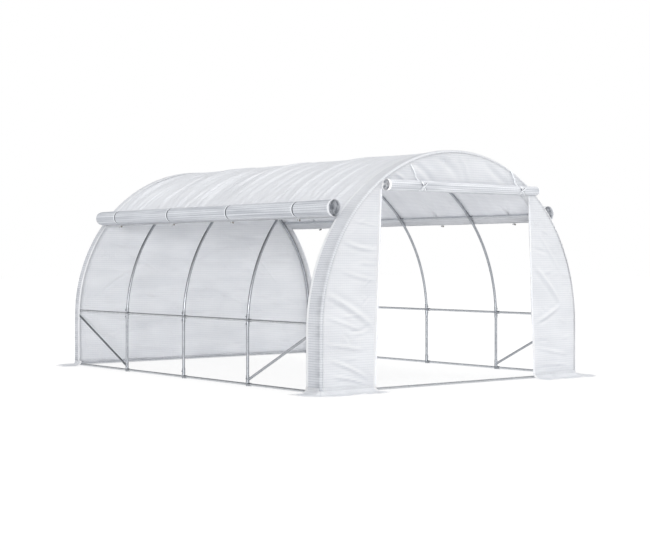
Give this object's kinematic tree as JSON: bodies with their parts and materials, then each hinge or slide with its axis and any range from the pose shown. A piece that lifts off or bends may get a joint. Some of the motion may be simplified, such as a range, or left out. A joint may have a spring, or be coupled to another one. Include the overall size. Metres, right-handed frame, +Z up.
{
  "type": "polytunnel greenhouse",
  "caption": "Walk-in polytunnel greenhouse: round steel hoops under a pale woven cover, with both sides and the door rolled up and tied.",
  "frame": {"origin": "on the ground, at the centre of the plan", "axes": "+X to the right seen from the door, +Y along the tunnel from the door to the closed end, +Z up"},
  "size_m": [3.4056, 4.4056, 2.0056],
  "materials": {
    "steel_tube": "galvanised steel tube with a dull grey coat",
    "fitting": "pressed steel sockets and tees, dull zinc grey",
    "toggle": "moulded plastic, satin",
    "webbing": "flat woven strap, white",
    "zip_tape": "woven zip tape with a coil, white",
    "end_cover": "coated woven polyethylene with a square grid of threads, slight gloss",
    "rolled_cover": "coated woven polyethylene, rolled up in many turns",
    "roof_cover": "coated woven polyethylene with a square grid of threads, slight gloss"
  },
  "bodies": {
    "root": {"arch_1": "steel_tube", "arch_2": "steel_tube", "arch_3": "steel_tube", "arch_4": "steel_tube", "arch_5": "steel_tube", "legs_left": "steel_tube", "legs_right": "steel_tube", "base_rail_left": "steel_tube", "base_rail_right": "steel_tube", "mid_rail_left": "steel_tube", "mid_rail_right": "steel_tube", "shoulder_purlin_left": "steel_tube", "shoulder_purlin_right": "steel_tube", "ridge_purlin": "steel_tube", "front_sill": "steel_tube", "rear_sill": "steel_tube", "braces_left": "steel_tube", "braces_right": "steel_tube", "foot_sockets_left": "fitting", "foot_sockets_right": "fitting", "mid_tees_left": "fitting", "mid_tees_right": "fitting", "purlin_tees": "fitting", "roof_cover": "roof_cover", "front_band_left": "roof_cover", "front_band_right": "roof_cover", "rear_band_left": "roof_cover", "rear_band_right": "roof_cover", "gable_panel": "end_cover", "front_panel_left": "end_cover", "front_panel_right": "end_cover", "rear_wall": "end_cover", "side_roll_left": "rolled_cover", "side_roll_right": "rolled_cover", "door_roll": "rolled_cover", "side_ties_left": "webbing", "side_ties_right": "webbing", "tie_toggles": "toggle", "door_ties": "webbing", "door_zip_left": "zip_tape", "door_zip_right": "zip_tape", "side_skirts_left": "roof_cover", "side_skirts_right": "roof_cover", "front_skirts": "roof_cover", "rear_skirt": "roof_cover"}
  },
  "joints": []
}
